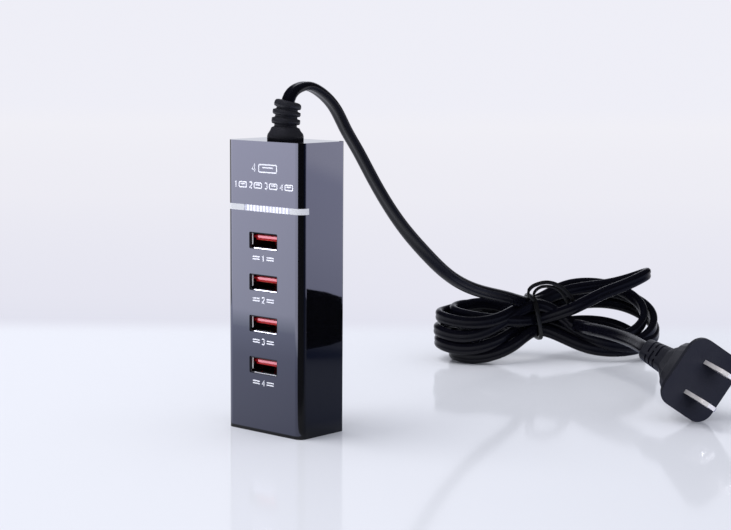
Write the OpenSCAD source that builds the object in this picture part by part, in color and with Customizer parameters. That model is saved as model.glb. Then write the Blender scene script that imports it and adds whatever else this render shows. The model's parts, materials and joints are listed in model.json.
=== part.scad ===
// Upright desk charger with four USB-A outlets, a flat mains cord tied in a hank,
// and a two-blade plug. Units are millimetres. The housing stands on its lower end
// with the middle of that end at the origin; the outlets face -Y.

/* [Housing] */
// Width of the housing from side to side
width = 36; // [35:0.5:44]
// Depth from the outlet face to the back
depth = 22; // [21.5:0.5:28]
// Height of the housing
height = 102; // [101:1:120]
// Thickness of the housing walls
wall = 2; // [1.6:0.1:2.2]
// Radius of the two upright front edges
edge_radius = 2.8; // [2.2:0.1:4]
// Radius of the two upright back edges
back_radius = 1.2; // [0.6:0.1:1.6]
// Thickness of the back cover
cover_thickness = 1.8; // [1.5:0.1:2.4]
// Height of the lip that seats the back cover in the housing
lip_height = 1.5; // [1:0.1:2]
// Thickness of that lip
lip_thickness = 1.2; // [0.8:0.1:1.4]
// Clearance between the lip and the housing walls
lip_clearance = 0.1; // [0.05:0.05:0.2]
// Diameter of the posts on the cover that press on the board
post_diameter = 3.2; // [2.6:0.1:4]
// Height of the snap ridges on the lip
snap_height = 0.3; // [0.2:0.05:0.4]

/* [Outlets] */
// Width of each window in the outlet face
window_width = 13.6; // [13.4:0.1:14.2]
// Height of each window
window_height = 5.8; // [5.8:0.1:6.4]
// Corner radius of each window
window_radius = 0.5; // [0.3:0.1:0.8]
// Distance from one outlet to the next
outlet_pitch = 14.6; // [13:0.1:14.8]
// Height of the lowest window's lower edge
lowest_window = 20.8; // [20.5:0.1:21.4]
// Outside width of an outlet's metal sleeve
sleeve_width = 13.2; // [12.8:0.1:13.3]
// Outside height of the sleeve
sleeve_height = 5.6; // [5.4:0.1:5.7]
// Thickness of the sleeve's sheet metal
sleeve_sheet = 0.3; // [0.25:0.05:0.4]
// Distance of the sleeve's mouth behind the outlet face
sleeve_setback = 0.3; // [0.1:0.1:1]
// Width of the plastic tongue
tongue_width = 11; // [10.4:0.1:11.2]
// Thickness of the tongue
tongue_thickness = 1.9; // [1.7:0.1:2]
// Height of the tongue's middle over the middle of the sleeve
tongue_lift = 1; // [0.8:0.1:1.2]
// Distance of the tongue's tip behind the sleeve's mouth
tongue_setback = 2; // [1.8:0.1:2.4]
// Depth of the block that carries the tongue
tongue_block = 2.4; // [2:0.1:3]
// Width of one contact strip
contact_width = 1; // [0.8:0.1:1.2]
// Thickness of one contact strip
contact_thickness = 0.2; // [0.15:0.05:0.3]
// Distance from one contact strip to the next
contact_pitch = 2.3; // [2:0.1:2.4]

/* [Light strip] */
// Height of the strip's lower edge
strip_bottom = 77.7; // [76.5:0.1:79]
// Height of the strip
strip_height = 2.1; // [1.8:0.1:2.6]
// Thickness of the clear strip
strip_thickness = 1.2; // [0.9:0.1:1.4]
// How far the strip runs back along each side
strip_wrap = 4; // [3.5:0.1:6]
// Number of upright ribs in the middle of the strip
rib_count = 13; // [9:2:15]
// Distance from one rib to the next
rib_pitch = 1.6; // [1.4:0.1:1.7]
// Width of the groove between two ribs
groove_width = 0.8; // [0.5:0.1:1]
// Depth of that groove
groove_depth = 0.4; // [0.2:0.1:0.6]
// Side of the square light-emitting packages behind the strip
led_size = 1.8; // [1.4:0.1:2]
// Distance between the light-emitting packages
led_pitch = 7; // [6:0.5:8]

/* [Circuit board] */
// Thickness of the circuit board
board_thickness = 1.6; // [1.2:0.2:2]
// Room behind the board for the flat components
back_room = 4.2; // [4:0.1:4.6]
// Clearance between the board and the side walls
board_clearance = 0.2; // [0.1:0.05:0.3]
// Height of the board's lower edge over the inside floor
board_foot = 1; // [0.5:0.1:1.5]
// Distance of the board's upper edge below the inside roof
board_head = 4; // [3.8:0.1:5]
// Width of the rails inside the housing that the board rests against
rail_width = 1.4; // [1:0.1:1.5]
// Thickness of those rails
rail_thickness = 1.5; // [1:0.1:2]

/* [Power parts] */
// Length of the transformer core across the housing
core_length = 20; // [18:0.5:22]
// Height of the transformer core
core_height = 14; // [13:0.5:14.5]
// Thickness of the transformer core
core_thickness = 5; // [4.5:0.1:5.4]
// Width of the core's outer legs and of its ends
core_leg = 2; // [1.8:0.1:2.2]
// Height of the core's middle leg
core_middle = 4; // [3.6:0.1:4.4]
// Wall thickness of the winding former
former_wall = 0.6; // [0.5:0.1:0.8]
// Diameter of the two mains capacitors
mains_can_diameter = 7.6; // [7:0.1:7.8]
// Length of the mains capacitors
mains_can_length = 11.5; // [10:0.1:11.8]
// Diameter of the output capacitors
output_can_diameter = 6.3; // [5:0.1:7]
// Length of the output capacitors
output_can_length = 11; // [9:0.1:11.5]
// Diameter of the filter choke
choke_diameter = 9; // [7:0.1:9.5]
// Length of the filter choke
choke_length = 9; // [7:0.1:11]
// Diameter of the fuse
fuse_diameter = 6; // [5:0.1:6.4]
// Length of the fuse
fuse_length = 7; // [6:0.1:9]
// Width of the line capacitor
line_cap_width = 10.5; // [9:0.1:11]
// Height of the line capacitor
line_cap_height = 10; // [8:0.1:10.5]
// Thickness of the line capacitor, away from the board
line_cap_thickness = 9; // [6:0.1:11]

/* [Cord gland] */
// Diameter of the gland's foot on top of the housing
gland_foot_diameter = 12.6; // [12:0.1:14]
// Height of that foot
gland_foot_height = 1.4; // [1:0.1:2]
// Height of the flare above the foot
flare_height = 3.2; // [2.5:0.1:4]
// Number of flexible rings
ring_count = 4; // [3:1:5]
// Height of one ring
ring_height = 1.85; // [1.5:0.05:2.2]
// Height of the groove below each ring
ring_gap = 0.5; // [0.4:0.05:0.8]
// Diameter of the lowest ring
low_ring_diameter = 9.5; // [9:0.1:10]
// Diameter of the top ring
top_ring_diameter = 8.5; // [8:0.1:9]
// Diameter of the core that joins the rings
ring_core_diameter = 7.2; // [6.8:0.1:7.6]
// Diameter of the gland's neck in the housing
neck_diameter = 8; // [7.6:0.1:8.4]
// Diameter of the gland's flange inside the housing
flange_diameter = 9.4; // [9:0.1:10]
// Thickness of that flange
flange_thickness = 1.4; // [1:0.1:1.6]

/* [Mains cord] */
// Width of the flat mains cord
cord_width = 5.3; // [4.8:0.1:5.6]
// Thickness of the flat mains cord
cord_thickness = 3.2; // [2.8:0.1:3.4]
// Diameter of each insulated wire inside the housing
wire_diameter = 1.7; // [1.4:0.1:1.9]
// Distance between the two wires
wire_pitch = 2.6; // [2.2:0.1:3]

/* [Hank] */
// Radius of the hank's left end
hank_left_radius = 14; // [12:0.5:16]
// Radius of the hank's right end
hank_right_radius = 15; // [12:0.5:17]
// Distance of the left end's centre from the tie
hank_left_reach = 33; // [30:1:40]
// Distance of the right end's centre from the tie
hank_right_reach = 43; // [38:1:48]
// Width of the hank where it is tied
hank_waist = 17; // [15:0.5:20]
// Height of the hank's left end and of its top at the tie
hank_height = 26; // [24:0.5:30]
// Height of the hank's right end, whose turns stand up
hank_right_height = 36; // [32:0.5:40]
// Height of the tied middle's underside over the table
hank_rise = 9; // [7:0.5:11]
// Width of the tie
tie_width = 2; // [1.5:0.1:3]
// Thickness of the tie
tie_thickness = 1.2; // [0.8:0.1:1.4]

/* [Mains plug] */
// Width of the plug's face, across the blades
plug_width = 27.8; // [26:0.1:29]
// Thickness of the plug's face
plug_thickness = 22.8; // [21:0.1:24]
// Corner radius of the face
plug_corner = 6.2; // [5:0.1:7]
// Depth of the wide rim behind the face
plug_rim = 2; // [1.5:0.1:3]
// Width of the plug's grip behind the rim
grip_width = 24.4; // [22:0.1:25.4]
// Thickness of the grip behind the rim
grip_thickness = 21.2; // [19:0.1:21.6]
// Distance from the face to the end of the grip
grip_end = 12; // [10:0.5:14]
// Distance from the face to the start of the sleeve
sleeve_start = 26; // [24:0.5:28]
// Distance from the face to the end of the sleeve
sleeve_end = 45; // [43:0.5:48]
// Width of the flat sleeve at the plug
sleeve_wide = 10.9; // [10:0.1:12]
// Width of the sleeve at the cord
sleeve_narrow = 9; // [8:0.1:9.6]
// Thickness of the sleeve
sleeve_flatness = 7.2; // [6.6:0.1:8]
// Distance between the middles of the two blades
blade_spacing = 12.7; // [12.6:0.1:12.8]
// Breadth of a blade
blade_breadth = 6.3; // [6.2:0.1:6.5]
// Thickness of a blade
blade_thickness = 1.5; // [1.4:0.1:1.6]
// Length of a blade in front of the face
blade_length = 16.5; // [15.9:0.1:18]
// Length of a blade's root in the plug
blade_root = 8; // [6:0.5:12]
// Diameter of the hole in a blade
blade_hole = 3.1; // [2.8:0.1:4.1]
// Distance from the face to the middle of that hole
blade_hole_reach = 11.7; // [11:0.1:12]

/* [Hidden] */
$fn = 48;

overshoot = 1;
outlet_count = 4;

// Planes across the depth, from the outlet face to the back
front_y = -depth / 2;
back_y = depth / 2;
inner_front_y = front_y + wall;
seam_y = back_y - cover_thickness;
board_back = seam_y - back_room;
board_front = board_back - board_thickness;
sleeve_mouth = front_y + sleeve_setback;

// Inside of the housing and the board
inner_x = width / 2 - wall;
roof = height - wall;
board_x = inner_x - board_clearance;
board_bottom = wall + board_foot;
board_top = roof - board_head;

// Heights of the outlets, the first at the top
function outlet_z(i) = lowest_window + window_height / 2 + (outlet_count - i) * outlet_pitch;

strip_middle = strip_bottom + strip_height / 2;
led_board_thickness = 1;
led_board_end = 4;
led_board_length = 2 * (led_pitch + led_board_end);
led_board_height = 5;
led_thickness = 0.8;
led_slot_height = strip_height - 0.8;
led_pin_size = 0.8;
led_pin_spacing = 4;

// Middle of each side column beside the outlets
column_x = (sleeve_width / 2 + inner_x - rail_width) / 2;
transformer_z = (board_bottom + lowest_window) / 2;
core_window = core_height / 2 - core_leg - core_middle / 2;
winding_gap = 0.5;
transformer_y = board_front - core_thickness / 2 - core_window - winding_gap;
top_sleeve_edge = outlet_z(1) + sleeve_height / 2;
upper_bay = (top_sleeve_edge + board_top) / 2;
upper_bay_x = (inner_x - rail_width + wire_pitch) / 2;

// Gland heights
gland_top = height + gland_foot_height + flare_height + ring_count * (ring_height + ring_gap);
gland_inner = roof - flange_thickness;

// Where the hank lies and which way it points
hank_place = [-20, 178, 0];
hank_turn = 52;

// Where the plug's face lies and how the plug has rolled
plug_place = [103, 109, 15.5];
plug_turn = [97.5, -56, 51];

// Free stretch of cord, from the gland to the hank
run_route = [
    [0, 0.2, gland_top], [0, 2, gland_top + 2.6], [-1, 6.5, gland_top + 4.2],
    [-1.5, 12, gland_top + 4.4], [-2, 20, gland_top + 1.5], [-3, 28, 112], [-4, 35, 104.5],
    [-5, 43, 96.5], [-6, 54, 84], [-8, 71, 67.5], [-10, 89, 54], [-12, 107, 43],
    [-15, 130, 34.5], [-18, 155, 28.5], [-20, 172, 25]
];

// Stretch of cord from the hank to the plug
lead_route = [
    [-6, 190, 15], [2, 179, 16], [12, 169, 18.5], [28, 159, 20.7], [46, 148, 21], [64, 135, 19]
];

function plug_axis() = let(a = plug_turn) [
    cos(a[2]) * sin(a[1]) * cos(a[0]) + sin(a[2]) * sin(a[0]),
    sin(a[2]) * sin(a[1]) * cos(a[0]) - cos(a[2]) * sin(a[0]),
    cos(a[1]) * cos(a[0])
];
function plug_across() = let(a = plug_turn) [
    cos(a[2]) * cos(a[1]), sin(a[2]) * cos(a[1]), -sin(a[1])
];

// Smooth curve through a route's points
function curve_at(p0, p1, p2, p3, t) =
    0.5 * (2 * p1 + (p2 - p0) * t + (2 * p0 - 5 * p1 + 4 * p2 - p3) * t * t
    + (3 * p1 - p0 - 3 * p2 + p3) * t * t * t);
function curve(route, steps) = let(last = len(route) - 1) concat(
    [for (i = [0 : last - 1], j = [0 : steps - 1])
        curve_at(route[max(i - 1, 0)], route[i], route[i + 1], route[min(i + 2, last)], j / steps)],
    [route[last]]
);
function unit(v) = v / norm(v);
function tangent(points, i) =
    unit(points[min(i + 1, len(points) - 1)] - points[max(i - 1, 0)]);
function level(v, t) = unit(v - (v * t) * t);

// Corners of the cord's flat section
cord_sides = 10;
cord_section = [for (k = [0 : cord_sides - 1])
    let(a = 360 * (k + 0.5) / cord_sides) [cord_width / 2 * cos(a), cord_thickness / 2 * sin(a)]
];
function cord_ring(centre, along, across) = let(w = level(across, along), n = cross(along, w))
    [for (c = cord_section) centre + w * c[0] + n * c[1]];

// Solid through a list of rings, each with the same number of corners
module ring_solid(rings) {
    last = len(rings) - 1;
    count = len(rings[0]);
    corners = [for (ring = rings) each ring];
    sides = [for (i = [0 : last - 1], k = [0 : count - 1])
        let(a = i * count + k, b = i * count + (k + 1) % count)
        each [[a, b, a + count], [b, b + count, a + count]]
    ];
    ends = [[for (k = [count - 1 : -1 : 0]) k],
        [for (k = [0 : count - 1]) last * count + k]];
    polyhedron(points = corners, faces = [for (f = concat(sides, ends)) [for (k = [len(f) - 1 : -1 : 0]) f[k]]]);
}

// Flat shape with round front corners, from y0 back to y1
module front_rounded(half, y0, y1, r) {
    translate([-half, y0 + r]) square([2 * half, y1 - y0 - r]);
    translate([-half + r, y0]) square([2 * (half - r), 2 * r]);
    for (side = [-1, 1]) translate([side * (half - r), y0 + r]) circle(r);
}

// Rectangle about the middle, with round corners
module rounded_rectangle(w, h, r) {
    square([w - 2 * r, h], center = true);
    square([w, h - 2 * r], center = true);
    for (x = [-1, 1], y = [-1, 1]) translate([x * (w / 2 - r), y * (h / 2 - r)]) circle(r);
}

// Stands a flat shape up in the XZ plane, from y0 back to y1
module upright(y0, y1) {
    translate([0, y1, 0]) rotate([90, 0, 0]) linear_extrude(y1 - y0) children();
}

// Box from one corner to another
module box(a, b) {
    translate(a) cube(b - a);
}

// Band of the clear strip, round the front of the housing
module strip_band() {
    translate([0, 0, strip_bottom]) linear_extrude(strip_height) intersection() {
        difference() {
            front_rounded(width / 2, front_y, seam_y, edge_radius);
            front_rounded(width / 2 - strip_thickness, front_y + strip_thickness, seam_y + overshoot,
                edge_radius - strip_thickness);
        }
        translate([-width, front_y - overshoot]) square([2 * width, strip_wrap + overshoot]);
    }
}

snap_heights = [height * 0.22, height * 0.78];
snap_length = 6;
snap_width = 0.8;

// Ridges on the lip, also cut as pockets in the housing
module snap_ridges(extra) {
    for (side = [-1, 1], z = snap_heights)
        translate([side * (inner_x - lip_clearance), seam_y - lip_height / 2, z])
            cube([2 * (lip_clearance + snap_height + extra), snap_width + 2 * extra, snap_length + 2 * extra],
                center = true);
}

module housing() {
    inner_radius = 0.8;
    color([0.05, 0.05, 0.06]) {
        difference() {
            linear_extrude(height) front_rounded(width / 2, front_y, seam_y, edge_radius);
            translate([0, 0, wall]) linear_extrude(height - 2 * wall)
                front_rounded(inner_x, inner_front_y, seam_y + overshoot, inner_radius);
            for (i = [1 : outlet_count]) translate([0, 0, outlet_z(i)])
                upright(front_y - overshoot, inner_front_y + overshoot)
                    rounded_rectangle(window_width, window_height, window_radius);
            strip_band();
            translate([0, inner_front_y, strip_middle])
                cube([rib_count * rib_pitch, 2 * wall, led_slot_height], center = true);
            translate([0, 0, roof - overshoot]) cylinder(d = neck_diameter, h = wall + 2 * overshoot);
            snap_ridges(0.05);
        }
        for (side = [-1, 1]) translate([side * (inner_x - rail_width / 2), board_front - rail_thickness / 2, height / 2])
            cube([rail_width, rail_thickness, height - 2 * wall], center = true);
    }
}

post_inset = 10;

module back_cover() {
    lip_x = inner_x - lip_clearance;
    lip_half = height / 2 - wall - lip_clearance;
    color([0.05, 0.05, 0.06]) {
        linear_extrude(height) intersection() {
            mirror([0, 1]) front_rounded(width / 2, -back_y, -front_y, back_radius);
            translate([-width, seam_y]) square([2 * width, depth]);
        }
        translate([0, 0, height / 2]) upright(seam_y - lip_height, seam_y) difference() {
            square([2 * lip_x, 2 * lip_half], center = true);
            square([2 * (lip_x - lip_thickness), 2 * (lip_half - lip_thickness)], center = true);
        }
        snap_ridges(0);
        for (x = [-1, 1], z = [wall + post_inset, roof - post_inset])
            translate([x * (board_x - 4), seam_y, z]) rotate([90, 0, 0])
                cylinder(d = post_diameter, h = back_room);
    }
}

module light_strip() {
    color([0.85, 0.9, 0.95]) difference() {
        strip_band();
        for (i = [0 : rib_count - 2]) translate([(i - (rib_count - 2) / 2) * rib_pitch, front_y, strip_middle])
            cube([groove_width, 2 * groove_depth, strip_height + overshoot], center = true);
    }
}

module strip_leds() {
    color([0.95, 0.93, 0.8]) for (i = [-1 : 1])
        translate([i * led_pitch, inner_front_y + led_thickness / 2, strip_middle])
            cube([led_size, led_thickness, led_size], center = true);
}

// Small board with its two pins, which seat on the main board
module led_board() {
    y0 = inner_front_y + led_thickness;
    y1 = y0 + led_board_thickness;
    color([0.1, 0.35, 0.15]) {
        translate([0, (y0 + y1) / 2, strip_middle])
            cube([led_board_length, led_board_thickness, led_board_height], center = true);
        for (side = [-1, 1]) translate([side * led_pin_spacing / 2, (y1 + board_front) / 2, strip_middle])
            cube([led_pin_size, board_front - y1, led_pin_size], center = true);
    }
}

module main_board() {
    color([0.1, 0.35, 0.15]) box([-board_x, board_front, board_bottom], [board_x, board_back, board_top]);
}

// Folded metal sleeve of one outlet, open at the mouth
module usb_sleeve(i) {
    sleeve_corner = 0.8;
    color([0.75, 0.76, 0.78]) translate([0, 0, outlet_z(i)]) upright(sleeve_mouth, board_front) difference() {
        rounded_rectangle(sleeve_width, sleeve_height, sleeve_corner);
        rounded_rectangle(sleeve_width - 2 * sleeve_sheet, sleeve_height - 2 * sleeve_sheet,
            sleeve_corner - sleeve_sheet);
    }
}

module usb_tongue(i) {
    block_y = board_front - tongue_block;
    color([0.75, 0.08, 0.08]) translate([0, 0, outlet_z(i)]) {
        upright(block_y, board_front)
            rounded_rectangle(sleeve_width - 2 * sleeve_sheet, sleeve_height - 2 * sleeve_sheet, 0.5);
        upright(sleeve_mouth + tongue_setback, block_y + overshoot) translate([0, tongue_lift])
            rounded_rectangle(tongue_width, tongue_thickness, 0.3);
    }
}

// Four strips on the underside of the tongue
module usb_contacts(i) {
    tip_gap = 0.8;
    y0 = sleeve_mouth + tongue_setback + tip_gap;
    y1 = board_front - tongue_block;
    z1 = outlet_z(i) + tongue_lift - tongue_thickness / 2;
    color([0.85, 0.7, 0.3]) for (k = [-1.5 : 1 : 1.5])
        box([k * contact_pitch - contact_width / 2, y0, z1 - contact_thickness],
            [k * contact_pitch + contact_width / 2, y1, z1]);
}

module at_transformer() {
    translate([0, transformer_y, transformer_z]) children();
}

former_gap = 0.2;
former_half = core_length / 2 - core_leg - former_gap;
flange_plate = 0.8;

module transformer_core() {
    color([0.2, 0.2, 0.21]) at_transformer() difference() {
        cube([core_length, core_thickness, core_height], center = true);
        for (side = [-1, 1]) translate([0, 0, side * (core_middle + core_window) / 2])
            cube([core_length - 2 * core_leg, core_thickness + overshoot, core_window], center = true);
    }
}

// Former on the core's middle leg, with two flanges that seat on the board
module transformer_former() {
    flange_half = core_middle / 2 + core_window - former_gap;
    reach = core_thickness / 2 + core_window;
    color([0.9, 0.88, 0.8]) at_transformer() difference() {
        union() {
            cube([2 * former_half, core_thickness + 2 * former_wall, core_middle + 2 * former_wall], center = true);
            for (side = [-1, 1]) translate([side * (former_half - flange_plate / 2), 0, 0])
                box([-flange_plate / 2, -reach, -flange_half],
                    [flange_plate / 2, board_front - transformer_y, flange_half]);
        }
        cube([core_length, core_thickness, core_middle], center = true);
    }
}

module transformer_winding() {
    depth_of_wire = core_window - former_wall - 2 * former_gap;
    tube_y = core_thickness + 2 * former_wall;
    tube_z = core_middle + 2 * former_wall;
    length = 2 * (former_half - flange_plate);
    color([0.95, 0.75, 0.15]) at_transformer() rotate([0, 90, 0]) linear_extrude(length, center = true) difference() {
        rounded_rectangle(tube_z + 2 * depth_of_wire, tube_y + 2 * depth_of_wire, 1.4);
        square([tube_z, tube_y], center = true);
    }
}

// Turned part standing on the front of the board
module on_board(x, z) {
    translate([x, board_front, z]) rotate([90, 0, 0]) children();
}

// Round can with the crimped groove of an electrolytic capacitor
module capacitor_can(x, z, d, length) {
    groove = 0.35;
    groove_at = 1.6;
    on_board(x, z) rotate_extrude() polygon([
        [0, 0], [d / 2, 0], [d / 2, groove_at - groove], [d / 2 - groove, groove_at],
        [d / 2, groove_at + groove], [d / 2, length - groove], [d / 2 - groove, length], [0, length]
    ]);
}

module mains_capacitor(k) {
    color([0.1, 0.1, 0.35])
        capacitor_can(column_x, outlet_z(3) + (k - 1.5) * (mains_can_diameter + 1), mains_can_diameter,
            mains_can_length);
}

module output_capacitor(k) {
    color([0.1, 0.3, 0.2])
        capacitor_can(-column_x, outlet_z(3) + (k - 2) * (output_can_diameter + 1.5), output_can_diameter,
            output_can_length);
}

choke_flange = 1;
choke_post = 4;

module choke_core() {
    r = choke_diameter / 2;
    color([0.25, 0.25, 0.26]) on_board(upper_bay_x, upper_bay) rotate_extrude() polygon([
        [0, 0], [r, 0], [r, choke_flange], [choke_post / 2, choke_flange],
        [choke_post / 2, choke_length - choke_flange], [r, choke_length - choke_flange],
        [r, choke_length], [0, choke_length]
    ]);
}

module choke_winding() {
    inset = 0.4;
    color([0.7, 0.35, 0.15]) on_board(upper_bay_x, upper_bay) translate([0, 0, choke_flange]) difference() {
        cylinder(d = choke_diameter - 2 * inset, h = choke_length - 2 * choke_flange);
        cylinder(d = choke_post, h = choke_length - 2 * choke_flange);
    }
}

module mains_fuse() {
    color([0.45, 0.2, 0.12]) on_board(column_x, outlet_z(1)) cylinder(d = fuse_diameter, h = fuse_length);
}

module line_capacitor() {
    color([0.85, 0.75, 0.1]) on_board(-upper_bay_x, upper_bay)
        linear_extrude(line_cap_thickness) rounded_rectangle(line_cap_width, line_cap_height, 0.8);
}

// Round disc on two short leads
module safety_capacitor() {
    disc = 7;
    disc_thickness = 3;
    lead = 0.7;
    lead_length = 2;
    z = outlet_z(2) + 1;
    color([0.15, 0.4, 0.7]) {
        translate([column_x, board_front - lead_length - disc / 2, z])
            cylinder(d = disc, h = disc_thickness, center = true);
        for (side = [-1, 1]) on_board(column_x + side * disc / 4, z)
            cylinder(d = lead, h = lead_length + disc / 3);
    }
}

// Flat component on the back of the board, with a row of legs on two sides
module chip(x, z, w, h, t, legs) {
    leg = 0.5;
    leg_reach = 0.8;
    translate([x, board_back, z]) {
        translate([-w / 2, 0, -h / 2]) cube([w, t, h]);
        for (side = [-1, 1], k = [0 : legs - 1])
            translate([side * (w + leg_reach) / 2, leg / 2, (k - (legs - 1) / 2) * h / legs])
                cube([leg_reach, leg, leg], center = true);
    }
}

// Places of those components, clear of each other and of the cover's posts
chip_row = board_x / 2;
chip_height = 5;
power_row = roof - post_inset - post_diameter / 2 - 1;

module bridge_rectifier() color([0.12, 0.12, 0.13]) chip(chip_row, power_row - 2.4, 6.4, 4.8, 2.4, 2);
module power_switch() color([0.12, 0.12, 0.13]) chip(-chip_row, power_row - 3.2, 6.2, 6.4, 2.3, 2);
module control_chip() color([0.12, 0.12, 0.13]) chip(0, outlet_z(1) + chip_height + 0.4, 4, chip_height, 1.5, 4);
module rectifier_chip() color([0.12, 0.12, 0.13]) chip(0, transformer_z, 4, chip_height, 1.5, 4);
module charge_chip(k) color([0.12, 0.12, 0.13]) chip(0, outlet_z(5 - 2 * k), 4, chip_height, 1.5, 4);
module optocoupler() color([0.9, 0.9, 0.88]) chip(-chip_row, outlet_z(2), 4.4, 6.5, 3.4, 2);

// Insulated wire from the cord's end down and back to the board
module mains_wire(side) {
    bend_z = board_top - 2.5;
    translate([side * wire_pitch / 2, 0, 0]) {
        translate([0, 0, bend_z]) cylinder(d = wire_diameter, h = gland_inner - bend_z);
        translate([0, 0, bend_z]) sphere(d = wire_diameter);
        translate([0, board_front, bend_z]) rotate([90, 0, 0]) cylinder(d = wire_diameter, h = board_front);
    }
}

module live_wire() color([0.4, 0.2, 0.1]) mains_wire(-1);
module neutral_wire() color([0.1, 0.25, 0.6]) mains_wire(1);

// Moulded gland that holds the cord in the roof
module cord_gland() {
    webs = 4;
    web_width = 1.2;
    function ring_radius(k) = (low_ring_diameter + (top_ring_diameter - low_ring_diameter) * k / (ring_count - 1)) / 2;
    flare_top = height + gland_foot_height + flare_height;
    function ring_bottom(k) = flare_top + ring_gap + k * (ring_height + ring_gap);
    core_r = ring_core_diameter / 2;
    color([0.06, 0.06, 0.07]) difference() {
        union() {
            translate([0, 0, gland_inner]) cylinder(d = flange_diameter, h = flange_thickness);
            translate([0, 0, roof]) cylinder(d = neck_diameter, h = wall);
            translate([0, 0, height]) cylinder(d = gland_foot_diameter, h = gland_foot_height);
            translate([0, 0, height + gland_foot_height]) rotate_extrude() difference() {
                square([gland_foot_diameter / 2, flare_height]);
                translate([ring_radius(0) + flare_height, flare_height]) circle(flare_height);
                translate([ring_radius(0) + flare_height, 0]) square([gland_foot_diameter, flare_height]);
            }
            translate([0, 0, flare_top]) cylinder(r = core_r, h = gland_top - flare_top);
            for (k = [0 : ring_count - 1]) {
                translate([0, 0, ring_bottom(k)]) cylinder(r = ring_radius(k), h = ring_height);
                for (j = [0 : webs - 1]) rotate([0, 0, (j + k / 2) * 360 / webs])
                    translate([ring_radius(k) - web_width, -web_width / 2, ring_bottom(k) - ring_gap])
                        cube([web_width - 0.4, web_width, ring_gap]);
            }
        }
        translate([0, 0, gland_inner - overshoot])
            linear_extrude(gland_top - gland_inner + 2 * overshoot) polygon(cord_section);
    }
}

// Cord from its end inside the housing, up through the gland and over to the hank
module cord_run() {
    twist_from = 60;
    twist_to = 170;
    points = curve(run_route, 2);
    last = len(points) - 1;
    start = [for (z = [gland_inner, gland_top]) cord_ring([0, 0, z], [0, 0, 1], [1, 0, 0])];
    rest = [for (i = [1 : last])
        let(y = points[i][1], f = min(max((y - twist_from) / (twist_to - twist_from), 0), 1))
        cord_ring(points[i], tangent(points, i), (1 - f) * [1, 0, 0] + f * [0, 0, 1])];
    color([0.06, 0.06, 0.07]) ring_solid(concat(start, rest));
}

module hank_frame() {
    translate(hank_place) rotate([0, 0, hank_turn]) children();
}

// The tied turns as one solid, narrower and raised at the tie, with round ends that lie on the table
module cord_coil() {
    left = hank_left_reach + hank_left_radius;
    right = hank_right_reach + hank_right_radius;
    color([0.06, 0.06, 0.07]) hank_frame() intersection() {
        linear_extrude(hank_right_height) {
            translate([-hank_left_reach, 0]) circle(hank_left_radius);
            translate([hank_right_reach, 0]) circle(hank_right_radius);
            polygon([
                [-hank_left_reach, -hank_left_radius], [-tie_width, -hank_waist / 2], [tie_width, -hank_waist / 2],
                [hank_right_reach, -hank_right_radius], [hank_right_reach, hank_right_radius],
                [tie_width, hank_waist / 2], [-tie_width, hank_waist / 2], [-hank_left_reach, hank_left_radius]
            ]);
        }
        upright(-2 * hank_waist, 2 * hank_waist) polygon([
            [-left, 0], [-left / 2, 0], [-tie_width, hank_rise], [tie_width, hank_rise], [right / 2, 0], [right, 0],
            [right, hank_right_height], [hank_right_reach, hank_right_height], [tie_width, hank_height],
            [-tie_width, hank_height], [-left, hank_height - 3]
        ]);
    }
}

module cord_tie() {
    middle = (hank_rise + hank_height) / 2;
    opening = hank_height - hank_rise;
    color([0.05, 0.05, 0.05]) hank_frame() translate([0, 0, middle]) rotate([90, 0, 90])
        linear_extrude(tie_width, center = true) difference() {
            square([hank_waist + 2 * tie_thickness, opening + 2 * tie_thickness], center = true);
            square([hank_waist, opening], center = true);
        }
}

// Cord from the hank to the plug's sleeve
module plug_lead() {
    end_point = plug_place - sleeve_end * plug_axis();
    route = concat([for (i = [0 : len(lead_route) - 2]) lead_route[i]],
        [end_point - 6 * plug_axis(), end_point]);
    points = curve(route, 2);
    last = len(points) - 1;
    color([0.06, 0.06, 0.07]) ring_solid([for (i = [0 : last])
        let(f = i / last)
        cord_ring(points[i], i == last ? plug_axis() : tangent(points, i), (1 - f) * [0, 0, 1] + f * plug_across())
    ]);
}

module plug_frame() {
    translate(plug_place) rotate(plug_turn) children();
}

module blade(side) {
    nose = 2;
    slope = 1.6;
    translate([side * blade_spacing / 2 - blade_thickness / 2, 0, 0]) rotate([90, 0, 90])
        linear_extrude(blade_thickness) difference() {
            polygon([
                [-blade_breadth / 2, -blade_root], [blade_breadth / 2, -blade_root],
                [blade_breadth / 2, blade_length - nose], [blade_breadth / 2 - slope, blade_length],
                [-blade_breadth / 2 + slope, blade_length], [-blade_breadth / 2, blade_length - nose]
            ]);
            translate([0, blade_hole_reach]) circle(d = blade_hole);
        }
}

module plug_blade_1() color([0.8, 0.8, 0.82]) plug_frame() blade(1);
module plug_blade_2() color([0.8, 0.8, 0.82]) plug_frame() blade(-1);

// Corners of the plug's section at a distance behind its face
function plug_ring(reach, w, h) = let(r = min(plug_corner, 0.42 * h)) [
    for (q = [[1, 1], [-1, 1], [-1, -1], [1, -1]], k = [0 : 4])
        let(turn = 90 * (q[0] < 0 ? 1 : 0) + 90 * (q[1] < 0 ? (q[0] < 0 ? 1 : 3) : 0) + 22.5 * k)
        [q[0] * (w / 2 - r) + r * cos(turn), q[1] * (h / 2 - r) + r * sin(turn), -reach]
];
function between(a, b, t) = a + (b - a) * t;

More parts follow.
